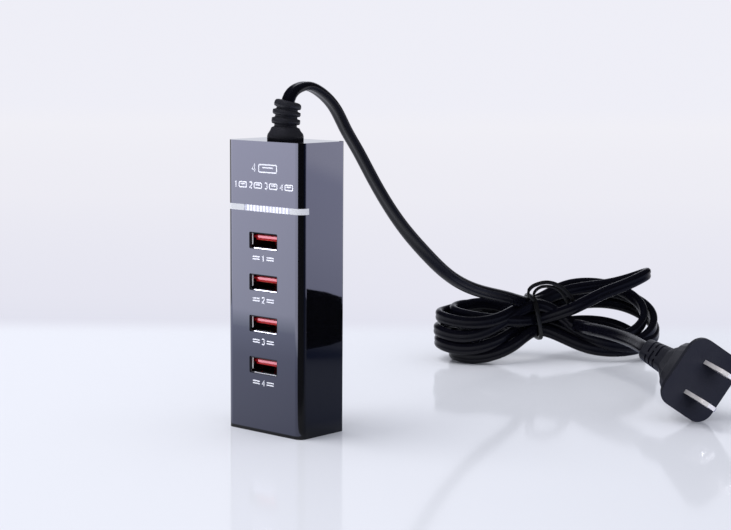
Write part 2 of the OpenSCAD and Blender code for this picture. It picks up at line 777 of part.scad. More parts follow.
// One moulding: face, grip and the flat sleeve with its rows of slots
module plug_body() {
    slot_rows = 3;
    slot_width = 1.3;
    slot_depth = 1;
    web = 1.2;
    back_width = 0.86 * grip_width;
    back_thickness = 0.83 * grip_thickness;
    sleeve_length = sleeve_end - sleeve_start;
    function slope_ring(t, in_width, in_thickness) = plug_ring(between(grip_end, sleeve_start, t),
        between(back_width, sleeve_wide, in_width), between(back_thickness, sleeve_flatness, in_thickness));
    color([0.1, 0.1, 0.11]) plug_frame() difference() {
        union() {
            translate([0, 0, -plug_rim]) linear_extrude(plug_rim)
                rounded_rectangle(plug_width, plug_thickness, plug_corner);
            ring_solid([
                plug_ring(sleeve_end, sleeve_narrow, 0.9 * sleeve_flatness),
                plug_ring(sleeve_start, sleeve_wide, sleeve_flatness),
                slope_ring(0.57, 0.44, 0.83), slope_ring(0.29, 0.2, 0.48),
                plug_ring(grip_end, back_width, back_thickness),
                plug_ring(plug_rim / 2, grip_width, grip_thickness)
            ]);
        }
        for (k = [1 : slot_rows])
            translate([0, 0, -sleeve_start - sleeve_length * (0.12 + 0.19 * k) - slot_width / 2]) difference() {
                translate([-sleeve_wide, -sleeve_flatness, 0]) cube([2 * sleeve_wide, 2 * sleeve_flatness, slot_width]);
                translate([0, 0, -overshoot]) linear_extrude(slot_width + 2 * overshoot) rounded_rectangle(
                    sleeve_narrow - 2 * slot_depth, 0.9 * sleeve_flatness - 2 * slot_depth, slot_depth);
                translate([sleeve_wide / 8 * (k % 2 == 0 ? 1 : -1) - web / 2, -sleeve_flatness - overshoot, -overshoot])
                    cube([web, 2 * (sleeve_flatness + overshoot), slot_width + 2 * overshoot]);
            }
        for (side = [-1, 1]) blade(side);
    }
}

housing();
back_cover();
light_strip();
strip_leds();
led_board();
main_board();
usb_sleeve(1);  // usb_sleeve_1
usb_sleeve(2);  // usb_sleeve_2
usb_sleeve(3);  // usb_sleeve_3
usb_sleeve(4);  // usb_sleeve_4
usb_tongue(1);  // usb_tongue_1
usb_tongue(2);  // usb_tongue_2
usb_tongue(3);  // usb_tongue_3
usb_tongue(4);  // usb_tongue_4
usb_contacts(1);  // usb_contacts_1
usb_contacts(2);  // usb_contacts_2
usb_contacts(3);  // usb_contacts_3
usb_contacts(4);  // usb_contacts_4
transformer_core();
transformer_former();
transformer_winding();
mains_capacitor(1);  // mains_capacitor_1
mains_capacitor(2);  // mains_capacitor_2
output_capacitor(1);  // output_capacitor_1
output_capacitor(2);  // output_capacitor_2
output_capacitor(3);  // output_capacitor_3
choke_core();
choke_winding();
mains_fuse();
line_capacitor();
safety_capacitor();
bridge_rectifier();
power_switch();
control_chip();
rectifier_chip();
charge_chip(1);  // charge_chip_1
charge_chip(2);  // charge_chip_2
optocoupler();
live_wire();
neutral_wire();
cord_gland();
cord_run();
cord_coil();
cord_tie();
plug_lead();
plug_body();
plug_blade_1();
plug_blade_2();
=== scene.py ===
"""Looks of the four-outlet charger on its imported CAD: camera, cord, print, materials and light."""
import json
import math

import bpy
import bmesh
import numpy as np
from mathutils import Matrix, Vector


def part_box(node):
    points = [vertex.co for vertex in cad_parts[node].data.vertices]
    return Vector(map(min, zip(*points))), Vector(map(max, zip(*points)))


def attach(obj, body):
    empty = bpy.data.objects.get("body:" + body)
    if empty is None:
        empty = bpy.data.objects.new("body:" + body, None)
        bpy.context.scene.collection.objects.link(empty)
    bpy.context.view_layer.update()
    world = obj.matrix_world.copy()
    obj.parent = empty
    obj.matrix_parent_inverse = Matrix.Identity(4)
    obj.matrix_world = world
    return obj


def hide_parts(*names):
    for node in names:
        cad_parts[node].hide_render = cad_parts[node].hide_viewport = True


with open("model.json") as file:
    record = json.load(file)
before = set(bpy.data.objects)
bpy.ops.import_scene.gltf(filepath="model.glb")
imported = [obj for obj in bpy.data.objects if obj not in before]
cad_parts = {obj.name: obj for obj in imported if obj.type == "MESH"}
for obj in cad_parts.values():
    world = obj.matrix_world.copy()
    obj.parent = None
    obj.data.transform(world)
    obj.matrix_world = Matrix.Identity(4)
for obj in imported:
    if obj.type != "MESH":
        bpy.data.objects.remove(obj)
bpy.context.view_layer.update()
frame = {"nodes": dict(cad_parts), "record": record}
MM = 0.001


def mm(points):
    """Points given in millimetres, in metres."""
    return [tuple(c * MM for c in p) for p in points]


# Camera, fitted to the corners of the case in the photo
CAMERA_PLACE = Vector((436.86, -450.91, 137.58)) * MM
CAMERA_RIGHT = Vector((0.74811, 0.66355, 0.00605))
CAMERA_UP = Vector((-0.08755, 0.08966, 0.99212))
CAMERA_BACK = Vector((0.65777, -0.74274, 0.12517))
LENS = 88.83
SENSOR_WIDTH = 36
CLIP = (0.01, 50)

camera_data = bpy.data.cameras.new("camera")
camera_data.lens = LENS
camera_data.sensor_width = SENSOR_WIDTH
camera_data.clip_start, camera_data.clip_end = CLIP
camera = bpy.data.objects.new("camera", camera_data)
camera_axes = Matrix((CAMERA_RIGHT, CAMERA_UP, CAMERA_BACK)).transposed()
camera.matrix_world = Matrix.Translation(CAMERA_PLACE) @ camera_axes.to_4x4()
bpy.context.scene.collection.objects.link(camera)
bpy.context.scene.camera = camera
bpy.context.scene.view_settings.view_transform = "Standard"


def new_object(name, verts, faces, smooth=True):
    mesh = bpy.data.meshes.new(name)
    mesh.from_pydata([tuple(v) for v in verts], [], faces)
    mesh.validate()
    mesh.update()
    bm = bmesh.new()
    bm.from_mesh(mesh)
    bmesh.ops.recalc_face_normals(bm, faces=bm.faces)
    bm.to_mesh(mesh)
    bm.free()
    for polygon in mesh.polygons:
        polygon.use_smooth = smooth
    piece = bpy.data.objects.new(name, mesh)
    bpy.context.scene.collection.objects.link(piece)
    return piece


def loft(name, rings, smooth=True):
    """Skin through rings of equal counts, with flat ends."""
    count = len(rings[0])
    verts = [v for ring in rings for v in ring]
    faces = []
    for i in range(len(rings) - 1):
        j = i + 1
        for k in range(count):
            m = (k + 1) % count
            faces.append((i * count + k, i * count + m, j * count + m, j * count + k))
    faces.append(tuple(range(count)))
    faces.append(tuple((len(rings) - 1) * count + k for k in reversed(range(count))))
    return new_object(name, verts, faces, smooth)


def spline(points, step):
    """Natural cubic curve through the points, sampled about every step metres."""
    p = np.array(points, float)
    t = np.r_[0, np.cumsum(np.sqrt(np.linalg.norm(np.diff(p, axis=0), axis=1)))]
    n = len(p)
    h = np.diff(t)
    a = np.zeros((n, n))
    b = np.zeros((n, 3))
    a[0, 0] = a[-1, -1] = 1
    for i in range(1, n - 1):
        a[i, i - 1] = h[i - 1]
        a[i, i] = 2 * (h[i - 1] + h[i])
        a[i, i + 1] = h[i]
        b[i] = 6 * ((p[i + 1] - p[i]) / h[i] - (p[i] - p[i - 1]) / h[i - 1])
    m = np.linalg.solve(a, b)
    out = []
    for i in range(n - 1):
        count = max(2, int(round(np.linalg.norm(p[i + 1] - p[i]) / step)))
        for s in np.arange(count) * h[i] / count:
            r = h[i] - s
            out.append((m[i] * r ** 3 + m[i + 1] * s ** 3) / (6 * h[i])
                       + (p[i] / h[i] - m[i] * h[i] / 6) * r
                       + (p[i + 1] / h[i] - m[i + 1] * h[i] / 6) * s)
    out.append(p[-1])
    return np.array(out)


# The groove in a flat cord's faces: half its width, and how much of the half thickness its bottom leaves
GROOVE_HALF = 0.7 * MM
GROOVE_BOTTOM = 0.88


def stadium(width, thickness, count=20, grooved=False):
    """Corners of a flat section with round edges, maybe grooved in its faces, as (across, through) pairs."""
    r = thickness / 2
    half = width / 2 - r
    out = []
    for k in range(count):
        a = 2 * math.pi * (k + 0.5) / count
        x, y = math.cos(a), math.sin(a)
        out.append((math.copysign(half, x) + r * x, r * y))
        if grooved and k in (count // 4 - 1, 3 * count // 4 - 1):
            side = 1 if y > 0 else -1
            edge = side * GROOVE_HALF
            out += [(edge, side * r), (0, side * GROOVE_BOTTOM * r), (-edge, side * r)]
    return out


def sweep(name, path, across, section):
    """Tube of that section along a path, its width turned towards across at each point."""
    tangent = np.gradient(path, axis=0)
    tangent /= np.linalg.norm(tangent, axis=1)[:, None]
    wide = across - np.sum(across * tangent, axis=1)[:, None] * tangent
    wide /= np.linalg.norm(wide, axis=1)[:, None]
    thin = np.cross(tangent, wide)
    rings = [[p + w * a + n * b for a, b in section] for p, w, n in zip(path, wide, thin)]
    return loft(name, rings)


# The cord's section, and how far apart its rings are. The points of its route are in millimetres.
CORD_WIDTH = 5.3 * MM
CORD_THICKNESS = 3.2 * MM
CORD_STEP = 0.0016
GLAND_TOP = 116.0
# The free stretch from inside the strain relief to the hank
RUN = [(0, 0, 98.6), (0, 0, 107), (0.3, 0.3, 111.5), (0.7, 0.8, GLAND_TOP), (0.9, 2.6, 118.6),
       (0.2, 7, 120.2), (-0.6, 12.6, 120.4), (-1.4, 20.5, 117.5), (-2.5, 28.4, 112), (-3.7, 35.2, 104.5),
       (-4.8, 43, 96.5), (-6, 54, 84), (-8, 71, 67.5), (-10, 89, 54), (-12, 107, 43), (-15, 130, 34.5),
       (-18, 155, 28.5)]
# The stretch from the hank to the plug
LEAD = [(1.5, 178.5, 16), (12.5, 168, 17.6), (28.5, 158.5, 18.8), (46.5, 148, 19)]

HANK_PLACE = Vector((-20, 178, 0))
HANK_TURN = math.radians(52)
HANK_ALONG = Vector((math.cos(HANK_TURN), math.sin(HANK_TURN), 0))
HANK_AWAY = Vector((-math.sin(HANK_TURN), math.cos(HANK_TURN), 0))

# The plug as it lies: its place, its turns about Z, Y and X, and how far behind that place its sleeve starts
PLUG_PLACE = Vector((103, 109, 15.5))
PLUG_HEADING, PLUG_PITCH, PLUG_ROLL = (math.radians(angle) for angle in (51, -56, 97.5))
PLUG_TURN = (Matrix.Rotation(PLUG_HEADING, 3, "Z") @ Matrix.Rotation(PLUG_PITCH, 3, "Y")
             @ Matrix.Rotation(PLUG_ROLL, 3, "X"))
PLUG_AXIS = PLUG_TURN @ Vector((0, 0, 1))
PLUG_ACROSS = PLUG_TURN @ Vector((1, 0, 0))
SLEEVE_END = 45
# The cord runs straight for this far before the sleeve's end and inside it
SLEEVE_SEAT = 6

# Points in the hank's own frame are (along it, to its far side, height). The first turn's right loop stands
# up, and comes down in front of the others.
RAISED_LOOP = [(16, 8.1, 27.75), (36, 3, 31.5), (46, -9, 37), (35, -15.5, 33.6), (24, -15, 29.4),
               (12, -12, 23)]
# The right loops of the other turns: how far the end reaches, its side step and height, the heights of its
# far and near strands, and how wide they spread
RIGHT_LOOPS = [(47, -2, 20, 31, 9, 1.0), (52, 0, 17.5, 27, 6.5, 1.1), (53.5, 2, 12.5, 21.5, 5.5, 1.2),
               (48, 3, 5.5, 13, 4.2, 1.05)]
# The left loops of all turns: how far the end reaches, its side step and height, how far to the side its
# far strand stands, how wide it spreads, and how much its near strand sags
LEFT_LOOPS = [(-37.5, 0, 21, 13, 0.8, 1.6), (-44, -1, 19.5, 9, 1.0, 1.6), (-44.8, -2, 13.4, 11, 1.0, 1.6),
              (-44.4, -3, 8.2, 13, 1.0, 1.6), (-38, -4, 3.3, 13, 1.0, 0)]
# Where a loop is open and where its end starts to curl: how far back from the end, and how far to the side
RIGHT_OPEN, RIGHT_CURL = (30, 13), (9, 12)
LEFT_OPEN, LEFT_CURL = (24, 13), (8, 12.5)
# The curl follows the end's side step by this share
CURL_DRIFT = 0.3
# On the left the curl is this much lower than the end on the near side and higher on the far side
LEFT_CURL_DROP, LEFT_CURL_RISE = 1.5, 0.8
LOWEST_CURL = 2.9
# Where a left loop is open, its far strand stands this much further out than its curl, and this much higher
# than half way between the tie and the end
LEFT_FAR_OUT, LEFT_FAR_UP = 1, 1
# Where the strands pass through the tie, as side step and height
WAIST = [(1.7, 24), (-5, 17.8), (5, 24), (-1.7, 23.3), (5, 18.4), (-5, 23.3), (1.7, 18.4), (-1.7, 15.4),
         (5, 12.8), (-5, 12.8), (1.7, 12.8)]
HANK_EXIT = [(8, 0.2, 13.6), (12.6, -6.5, 14.8)]


def in_hank(along, away, height):
    """Point of the scene, in mm, for a point in the hank's own frame."""
    return tuple(HANK_PLACE + HANK_ALONG * along + HANK_AWAY * away + Vector((0, 0, height)))


def mostly(strand, other):
    """Height three quarters of the way to the strand's own."""
    return 0.75 * strand + 0.25 * other


def right_loop(low, reach, step, height, far, near, spread):
    """From the tie along the far strand, round the right end and back along the near strand."""
    open_at, open_side = reach - RIGHT_OPEN[0], RIGHT_OPEN[1] * spread
    curl_at, curl_side = reach - RIGHT_CURL[0], RIGHT_CURL[1] * spread
    drift = CURL_DRIFT * step
    return [(open_at, open_side, mostly(far, low)),
            (curl_at, drift + curl_side, mostly(far, height)),
            (reach, step, height),
            (curl_at, drift - curl_side, mostly(near, height)),
            (open_at, -open_side, mostly(near, low))]


def left_loop(low, reach, step, height, away, spread, sag):
    """From the tie along the near strand, round the left end and back along the far strand."""
    open_at, curl_at = reach + LEFT_OPEN[0], reach + LEFT_CURL[0]
    middle = (low + height) / 2
    return [(open_at, -LEFT_OPEN[1] * spread, middle - sag),
            (curl_at, -LEFT_CURL[1] * spread, max(height - LEFT_CURL_DROP, LOWEST_CURL)),
            (reach, step, height),
            (curl_at, away * spread, height + LEFT_CURL_RISE),
            (open_at, (away + LEFT_FAR_OUT) * spread, middle + LEFT_FAR_UP)]


def hank_points():
    """The five figure-eight turns, which all cross inside the tie."""
    points = []
    for turn, left in enumerate(LEFT_LOOPS):
        start, half_way = WAIST[2 * turn], WAIST[2 * turn + 1]
        points.append((0, *start))
        points += right_loop(start[1], *RIGHT_LOOPS[turn - 1]) if turn else RAISED_LOOP
        points.append((0, *half_way))
        points += left_loop(half_way[1], *left)
    points.append((0, *WAIST[-1]))
    return [in_hank(*p) for p in points + HANK_EXIT]


plug_start = PLUG_PLACE - SLEEVE_END * PLUG_AXIS
CORD_END = [tuple(plug_start + back * PLUG_AXIS) for back in (-SLEEVE_SEAT, 0, SLEEVE_SEAT)]
cord_path = spline(mm(RUN + hank_points() + LEAD + CORD_END), CORD_STEP)
cord_at = np.r_[0, np.cumsum(np.linalg.norm(np.diff(cord_path, axis=0), axis=1))]
CORD_LENGTH = float(cord_at[-1])

# The cord's width lies along X at the strain relief and turns upright between these lengths along the cord
UPRIGHT_FROM, UPRIGHT_AT = 0.07, 0.18
# It turns to lie along the plug's width between these lengths back from the cord's end
TO_PLUG_FROM, TO_PLUG_AT = 0.09, 0.012


def fade(values, start, end):
    """Smooth step from 0 at start to 1 at end, as a column."""
    t = np.clip((values - start) / (end - start), 0, 1)
    return (t * t * (3 - 2 * t))[:, None]


turn_up = fade(cord_at, UPRIGHT_FROM, UPRIGHT_AT)
turn_to_plug = fade(cord_at, CORD_LENGTH - TO_PLUG_FROM, CORD_LENGTH - TO_PLUG_AT)
cord_across = (1 - turn_up) * np.array([1, 0, 0]) + turn_up * np.array([0, 0, 1])
cord_across = (1 - turn_to_plug) * cord_across + turn_to_plug * np.array(PLUG_ACROSS)
cord = sweep("mains_cord", cord_path, cord_across, stadium(CORD_WIDTH, CORD_THICKNESS, grooved=True))

# The strain relief in mm, as height and half width: a flare, then rings with grooves between
GLAND = [(101.9, 5.6), (103.4, 5.6), (104.2, 5.4), (105.3, 4.7), (106.3, 4.3),
         (106.7, 3.5), (107.4, 3.45), (107.7, 4.25), (108.3, 4.4), (109.4, 4.35),
         (109.8, 3.45), (110.4, 3.4), (110.7, 4.15), (111.3, 4.3), (112.1, 4.2),
         (112.5, 3.3), (113.0, 3.25), (113.3, 4.0), (114.0, 4.15), (114.9, 4.0),
         (115.4, 3.6), (115.6, 2.9)]
GLAND_SIDES = 32
GLAND_SQUARE = 0.62
# It bends from this height on. One bend length higher it is this far aside, and tilted by these slopes.
GLAND_BEND_FROM, GLAND_BEND_LENGTH = 104, 12
GLAND_ASIDE = (0.75, 0.85)
GLAND_SLOPES = (0.16, 0.18)


def squared(value, power):
    """Sine or cosine for a round-cornered square, which a lower power makes squarer."""
    return math.copysign(abs(value) ** power, value)


def gland_ring(height, half):
    """Round-cornered square that leans and tilts the way the cord bends."""
    bend = max(height - GLAND_BEND_FROM, 0) / GLAND_BEND_LENGTH
    points = []
    for k in range(GLAND_SIDES):
        a = 2 * math.pi * (k + 0.5) / GLAND_SIDES
        x = squared(math.cos(a), GLAND_SQUARE) * half
        y = squared(math.sin(a), GLAND_SQUARE) * half
        drop = (GLAND_SLOPES[0] * x + GLAND_SLOPES[1] * y) * bend
        points.append((x + GLAND_ASIDE[0] * bend ** 2, y + GLAND_ASIDE[1] * bend ** 2, height - drop))
    return mm(points)


gland = loft("cord_gland_sleeve", [gland_ring(height, half) for height, half in GLAND])

# The tie, in the hank's own frame: a squared ring of so many points, with a loose tail and loop
TIE_POINTS = 28
TIE_SQUARE = 0.65
TIE_HALF_WIDTH, TIE_HALF_HEIGHT, TIE_MIDDLE = 8.6, 9.4, 18
# Where along the hank it stands at the knot's height, and how far it moves on for each mm below that
TIE_PLACE, TIE_KNOT_HEIGHT, TIE_LEAN = -3.6, 26, 0.2
# How far apart the rings of its strands are, and the corners of their section
TIE_STEP = 0.0012
TIE_SIDES = 12
TAIL = [(-3.4, -7.6, 26.2), (-5.6, -8.4, 27.4), (-6.9, -8.4, 29.6), (-5.6, -8, 31.8), (-2.6, -8, 33.3),
        (1.9, -8, 33.9), (7.2, -8, 32.1), (11, -8.2, 28.6), (13.9, -8.6, 24.4), (13, -9.6, 21.8)]
LOOP = [(-3.4, -7.2, 26.2), (-4, -6.8, 28.6), (-2, -6.6, 31.2), (2, -6.6, 32), (6.6, -6.8, 30.6),
        (9.6, -7.4, 27), (10.8, -8.6, 24.2)]
UP = (0, 0, 1)


def tie_strand(name, points, across, width, thickness):
    """Flat strand of the tie through these points of the hank, its width and thickness in mm."""
    path = spline(mm([in_hank(*p) for p in points]), TIE_STEP)
    across = np.tile(np.array(across, float), (len(path), 1))
    return sweep(name, path, across, stadium(width * MM, thickness * MM, TIE_SIDES))


tie_ring = []
for k in range(TIE_POINTS):
    a = 2 * math.pi * k / TIE_POINTS
    away = TIE_HALF_WIDTH * squared(math.cos(a), TIE_SQUARE)
    height = TIE_MIDDLE + TIE_HALF_HEIGHT * squared(math.sin(a), TIE_SQUARE)
    tie_ring.append((TIE_PLACE + (TIE_KNOT_HEIGHT - height) * TIE_LEAN, away, height))
tie = tie_strand("cord_tie_band", tie_ring + tie_ring[:1], HANK_ALONG, width=2.0, thickness=1.1)
tie_tail = tie_strand("cord_tie_tail", TAIL, UP, width=1.7, thickness=0.9)
tie_loop = tie_strand("cord_tie_loop", LOOP, UP, width=1.4, thickness=0.9)
for piece in (tie_tail, tie_loop):
    piece.parent = tie

# Trim of the outlets, ribs of the light strip, and print on the face, which looks towards -Y
FACE_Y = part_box("housing")[0][1]
OUTLETS = [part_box(f"usb_sleeve_{i}") for i in range(1, 5)]


def bar(name, x0, x1, profile):
    """Bar along X whose section is a list of (y, z) corners."""
    return loft(name, [[(x, y, z) for y, z in profile] for x in (x0, x1)], smooth=False)


def shifted(profile, y, z):
    """Corners given in mm from the point (y, z)."""
    return [(y + dy * MM, z + dz * MM) for dy, dz in profile]


def plates(name, spans, low, high, front, back):
    """Thin upright bars between two heights and two depths, one for each (start, end) along X in mm."""
    verts, faces = [], []
    for span in spans:
        a = len(verts)
        verts += [(x * MM, y, z) for x in span for y in (back, front) for z in (low, high)]
        faces += [tuple(a + k for k in face) for face in
                  ((0, 1, 3, 2), (4, 6, 7, 5), (0, 4, 5, 1), (2, 3, 7, 6), (0, 2, 6, 4), (1, 5, 7, 3))]
    return new_object(name, verts, faces, smooth=False)


def stroke(points, width, height):
    """Corners and faces of a thin raised line that follows (x, z) points on the outlet face."""
    line = np.array(points, float)
    along = np.gradient(line, axis=0)
    along /= np.linalg.norm(along, axis=1)[:, None]
    side = np.c_[-along[:, 1], along[:, 0]] * width / 2
    verts = []
    for p, q in zip(line, side):
        for x, z in (p - q, p + q):
            verts += [(x, FACE_Y, z), (x, FACE_Y - height, z)]
    faces = []
    for i in range(len(line) - 1):
        a = 4 * i
        faces += [(a, a + 1, a + 5, a + 4), (a + 1, a + 3, a + 7, a + 5), (a + 3, a + 2, a + 6, a + 7),
                  (a + 2, a, a + 4, a + 6)]
    end = 4 * (len(line) - 1)
    faces += [(0, 2, 3, 1), (end, end + 1, end + 3, end + 2)]
    return verts, faces


def print_marks(name, marks, width, height):
    """One thin print of many strokes, each given in metres on the outlet face."""
    verts, faces = [], []
    for points in marks:
        more, skin = stroke(points, width, height)
        faces += [tuple(k + len(verts) for k in face) for face in skin]
        verts += more
    return new_object(name, verts, faces, smooth=False)


def arc(cx, cz, rx, rz, start, end, count=9):
    """Points along part of an ellipse, between two angles in degrees."""
    return [(cx + rx * math.cos(math.radians(a)), cz + rz * math.sin(math.radians(a)))
            for a in np.linspace(start, end, count)]


# Digits as open strokes in a box 0.6 wide and 1 high
DIGITS = {
    "1": [[(0.12, 0.78), (0.34, 1.0), (0.34, 0.0)]],
    "2": [arc(0.3, 0.72, 0.28, 0.28, 160, -35) + [(0.02, 0.0), (0.6, 0.0)]],
    "3": [arc(0.28, 0.76, 0.26, 0.24, 150, -80), arc(0.28, 0.27, 0.3, 0.27, 80, -150)],
    "4": [[(0.46, 0.0), (0.46, 1.0), (0.0, 0.3), (0.62, 0.3)]],
}


def placed(points, x, z, scale):
    """Stroke with its points scaled and moved to a place on the face, all in mm."""
    return [((x + px * scale) * MM, (z + pz * scale) * MM) for px, pz in points]


def number(digit, x, z, height):
    """Strokes of a digit whose lower left corner is at (x, z)."""
    return [placed(points, x, z, height) for points in DIGITS[str(digit)]]


# The radius of a sign's corners, and its tongue's half length and height as shares of its width and height
SIGN_CORNER = 0.4
SIGN_TONGUE = (0.3, 0.12)


def outlet_sign(x, z, width, height):
    """Generic sign of an outlet about (x, z): its round-cornered outline with the tongue inside."""
    half_w, half_h = width / 2 - SIGN_CORNER, height / 2 - SIGN_CORNER
    outline = []
    for sx, sz, turn in ((1, 1, 0), (-1, 1, 90), (-1, -1, 180), (1, -1, 270)):
        outline += arc(sx * half_w, sz * half_h, SIGN_CORNER, SIGN_CORNER, turn, turn + 90, 4)
    across, up = SIGN_TONGUE[0] * width, SIGN_TONGUE[1] * height
    return [placed(outline + outline[:1], x, z, 1), placed([(-across, up), (across, up)], x, z, 1)]


# The print in mm: x, z and height of a number, and x, z, width and height of a sign. In the row of small
# ones x counts from the start of each pair, and below an outlet z counts from its middle.
HEADING_NUMBER = (-5.4, 91.4, 2.8)
HEADING_SIGN = (2.2, 92.7, 8.6, 2.6)
ROW_START, ROW_PITCH = -14.0, 7.4
ROW_NUMBER = (0, 85.7, 2.1)
ROW_SIGN = (4.1, 86.7, 3.6, 1.8)
OUTLET_NUMBER = (-0.6, -7.0, 2.0)
# Two bars on each side of an outlet's number: their middles, counted from its foot, and half their length
BARS = ((-3.4, 1.45), (-3.4, 0.6), (3.4, 1.45), (3.4, 0.6))
BAR_HALF = 1.7
PRINT_WIDTH, PRINT_HEIGHT = 0.42 * MM, 0.03 * MM

# The plated lower lip of an outlet, from x to x, as (y, z) from the mouth and the top of the sleeve's floor
SLEEVE_WALL = 0.3 * MM
LIP_SPAN = (-4.6, 6.2)
LIP = [(-0.08, -0.25), (-0.12, 0), (0.05, 0.2), (2.2, 0.12), (2.2, 0), (0.02, 0)]
# The bright edge of a tongue, this far inside its ends, as (y, z) from the top of its tip
EDGE_INSET = 0.1 * MM
TONGUE_EDGE = [(0.3, -1.75), (-0.4, -1.7), (-0.43, -0.85), (0.3, -0.8)]
# Painted highlight of a sleeve's left edge, a pale plate inside it: its span, how far it stays off the floor
# and the roof, and its depths
PAINTED_GLINT_SPAN = (-5.9, -5.68)
PAINTED_GLINT_GAPS = (1.0 * MM, 0.3 * MM)
PAINTED_GLINT_DEPTHS = (0.3 * MM, 0.6 * MM)

marks = number(4, *HEADING_NUMBER) + outlet_sign(*HEADING_SIGN)
for k in range(4):
    left = ROW_START + k * ROW_PITCH
    marks += number(k + 1, left + ROW_NUMBER[0], *ROW_NUMBER[1:])
    marks += outlet_sign(left + ROW_SIGN[0], *ROW_SIGN[1:])
trim = []
for i, (low, high) in enumerate(OUTLETS, 1):
    x, below, digit_height = OUTLET_NUMBER
    foot = (low[2] + high[2]) / 2 / MM + below
    marks += number(i, x, foot, digit_height)
    marks += [placed([(-BAR_HALF, 0), (BAR_HALF, 0)], x, foot + up, 1) for x, up in BARS]
    mouth, sleeve_floor = low[1], low[2] + SLEEVE_WALL
    lip = bar(f"usb_lip_{i}", LIP_SPAN[0] * MM, LIP_SPAN[1] * MM, shifted(LIP, mouth, sleeve_floor))
    tongue_low, tongue_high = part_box(f"usb_tongue_{i}")
    edge = bar(f"usb_tongue_edge_{i}", tongue_low[0] + EDGE_INSET, tongue_high[0] - EDGE_INSET,
               shifted(TONGUE_EDGE, tongue_low[1], tongue_high[2]))
    # A pale plate that paints the highlight on the sleeve's left edge
    painted_glint = plates(f"usb_seam_{i}", [PAINTED_GLINT_SPAN], sleeve_floor + PAINTED_GLINT_GAPS[0], high[2] - PAINTED_GLINT_GAPS[1],
                  mouth + PAINTED_GLINT_DEPTHS[0], mouth + PAINTED_GLINT_DEPTHS[1])
    trim += [("lip_plate", lip), ("tongue_edge", edge), ("painted_glint_steel", painted_glint)]
trim.append(("white_print", print_marks("face_print", marks, PRINT_WIDTH, PRINT_HEIGHT)))

# The ribbed part of the light strip: pale ribs on a grey bed, whose grey is painted shade between the ribs;
# both stand proud of the face by these amounts
STRIP_LOW, STRIP_HIGH = (corner[2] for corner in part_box("light_strip"))
GROOVE_SHADE_SPAN = (-9.0, 12.6)
GROOVE_SHADE_PROUD, RIB_PROUD, STRIP_DEPTH = 0.01 * MM, 0.02 * MM, 0.3 * MM
RIB_COUNT, RIB_FIRST, RIB_PITCH, RIB_HALF = 13, -7.35, 1.5625, 0.45
rib_middles = [RIB_FIRST + RIB_PITCH * k for k in range(RIB_COUNT)]
ribs = [(middle - RIB_HALF, middle + RIB_HALF) for middle in rib_middles]
for finish, name, spans, proud in (("groove_shade", "strip_groove_shade", [GROOVE_SHADE_SPAN], GROOVE_SHADE_PROUD),
                                   ("rib_white", "strip_ribs", ribs, RIB_PROUD)):
    trim.append((finish, plates(name, spans, STRIP_LOW, STRIP_HIGH, FACE_Y - proud, FACE_Y + STRIP_DEPTH)))


def nodes_of(name):
    """New material with its node tree and its Principled shader."""
    made = bpy.data.materials.new(name)
    made.use_nodes = True
    tree = made.node_tree
    return made, tree, tree.nodes["Principled BSDF"]


def add(tree, kind, inputs=None, **settings):
    """Outputs of a new node. Its inputs are given by name or number, as values or as sockets to link."""
    node = tree.nodes.new(kind)
    for setting, value in settings.items():
        setattr(node, setting, value)
    for socket, value in (inputs or {}).items():
        if isinstance(value, bpy.types.NodeSocket):
            tree.links.new(value, node.inputs[socket])
        else:
            node.inputs[socket].default_value = value
    return node.outputs


def ranged(tree, value, start, end, low=0, high=1, interpolation="LINEAR"):
    """Value that goes from low to high while another goes from start to end, and stays within them."""
    inputs = {"Value": value, "From Min": start, "From Max": end, "To Min": low, "To Max": high}
    return add(tree, "ShaderNodeMapRange", inputs, interpolation_type=interpolation)["Result"]


def ramp_of(tree, factor, stops):
    """Colour from a ramp with these (position, colour) stops."""
    ramp = tree.nodes.new("ShaderNodeValToRGB")
    elements = ramp.color_ramp.elements
    for element, (at, tone) in zip(elements, (stops[0], stops[-1])):
        element.position = at
        element.color = (*tone, 1)
    for at, tone in stops[1:-1]:
        elements.new(at).color = (*tone, 1)
    tree.links.new(factor, ramp.inputs["Fac"])
    return ramp.outputs["Color"]


SIDE_LEAN = math.radians(4.4)
SIDE_SAG = math.radians(1.1)
# The X of a face's normal where it starts to count as the right side, and where it fully does
ON_SIDE = (0.95, 0.99)


def bowed_wall(tree):
    """Normal of a case a little hollow: its right side leans back by SIDE_LEAN and down by SIDE_SAG."""
    normal = add(tree, "ShaderNodeNewGeometry")["Normal"]
    facing = add(tree, "ShaderNodeSeparateXYZ", {"Vector": normal})["X"]
    lean = ranged(tree, facing, *ON_SIDE, 0, math.tan(SIDE_LEAN))
    sag = add(tree, "ShaderNodeMath", {0: lean, 1: -SIDE_SAG / SIDE_LEAN}, operation="MULTIPLY")["Value"]
    offset = add(tree, "ShaderNodeCombineXYZ", {"Y": lean, "Z": sag})["Vector"]
    turned = add(tree, "ShaderNodeVectorMath", {0: normal, 1: offset}, operation="ADD")["Vector"]
    unit = add(tree, "ShaderNodeVectorMath", {0: turned}, operation="NORMALIZE")["Vector"]
    tree.links.new(unit, tree.nodes["Principled BSDF"].inputs["Normal"])


# The scale of the noise in colour and roughness, the part of its range that counts for roughness, and how
# deep the grain is in metres
SLOW_SCALE = 60
SLOW_RANGE = (0.3, 0.7)
GRAIN_DEPTH = 0.0002


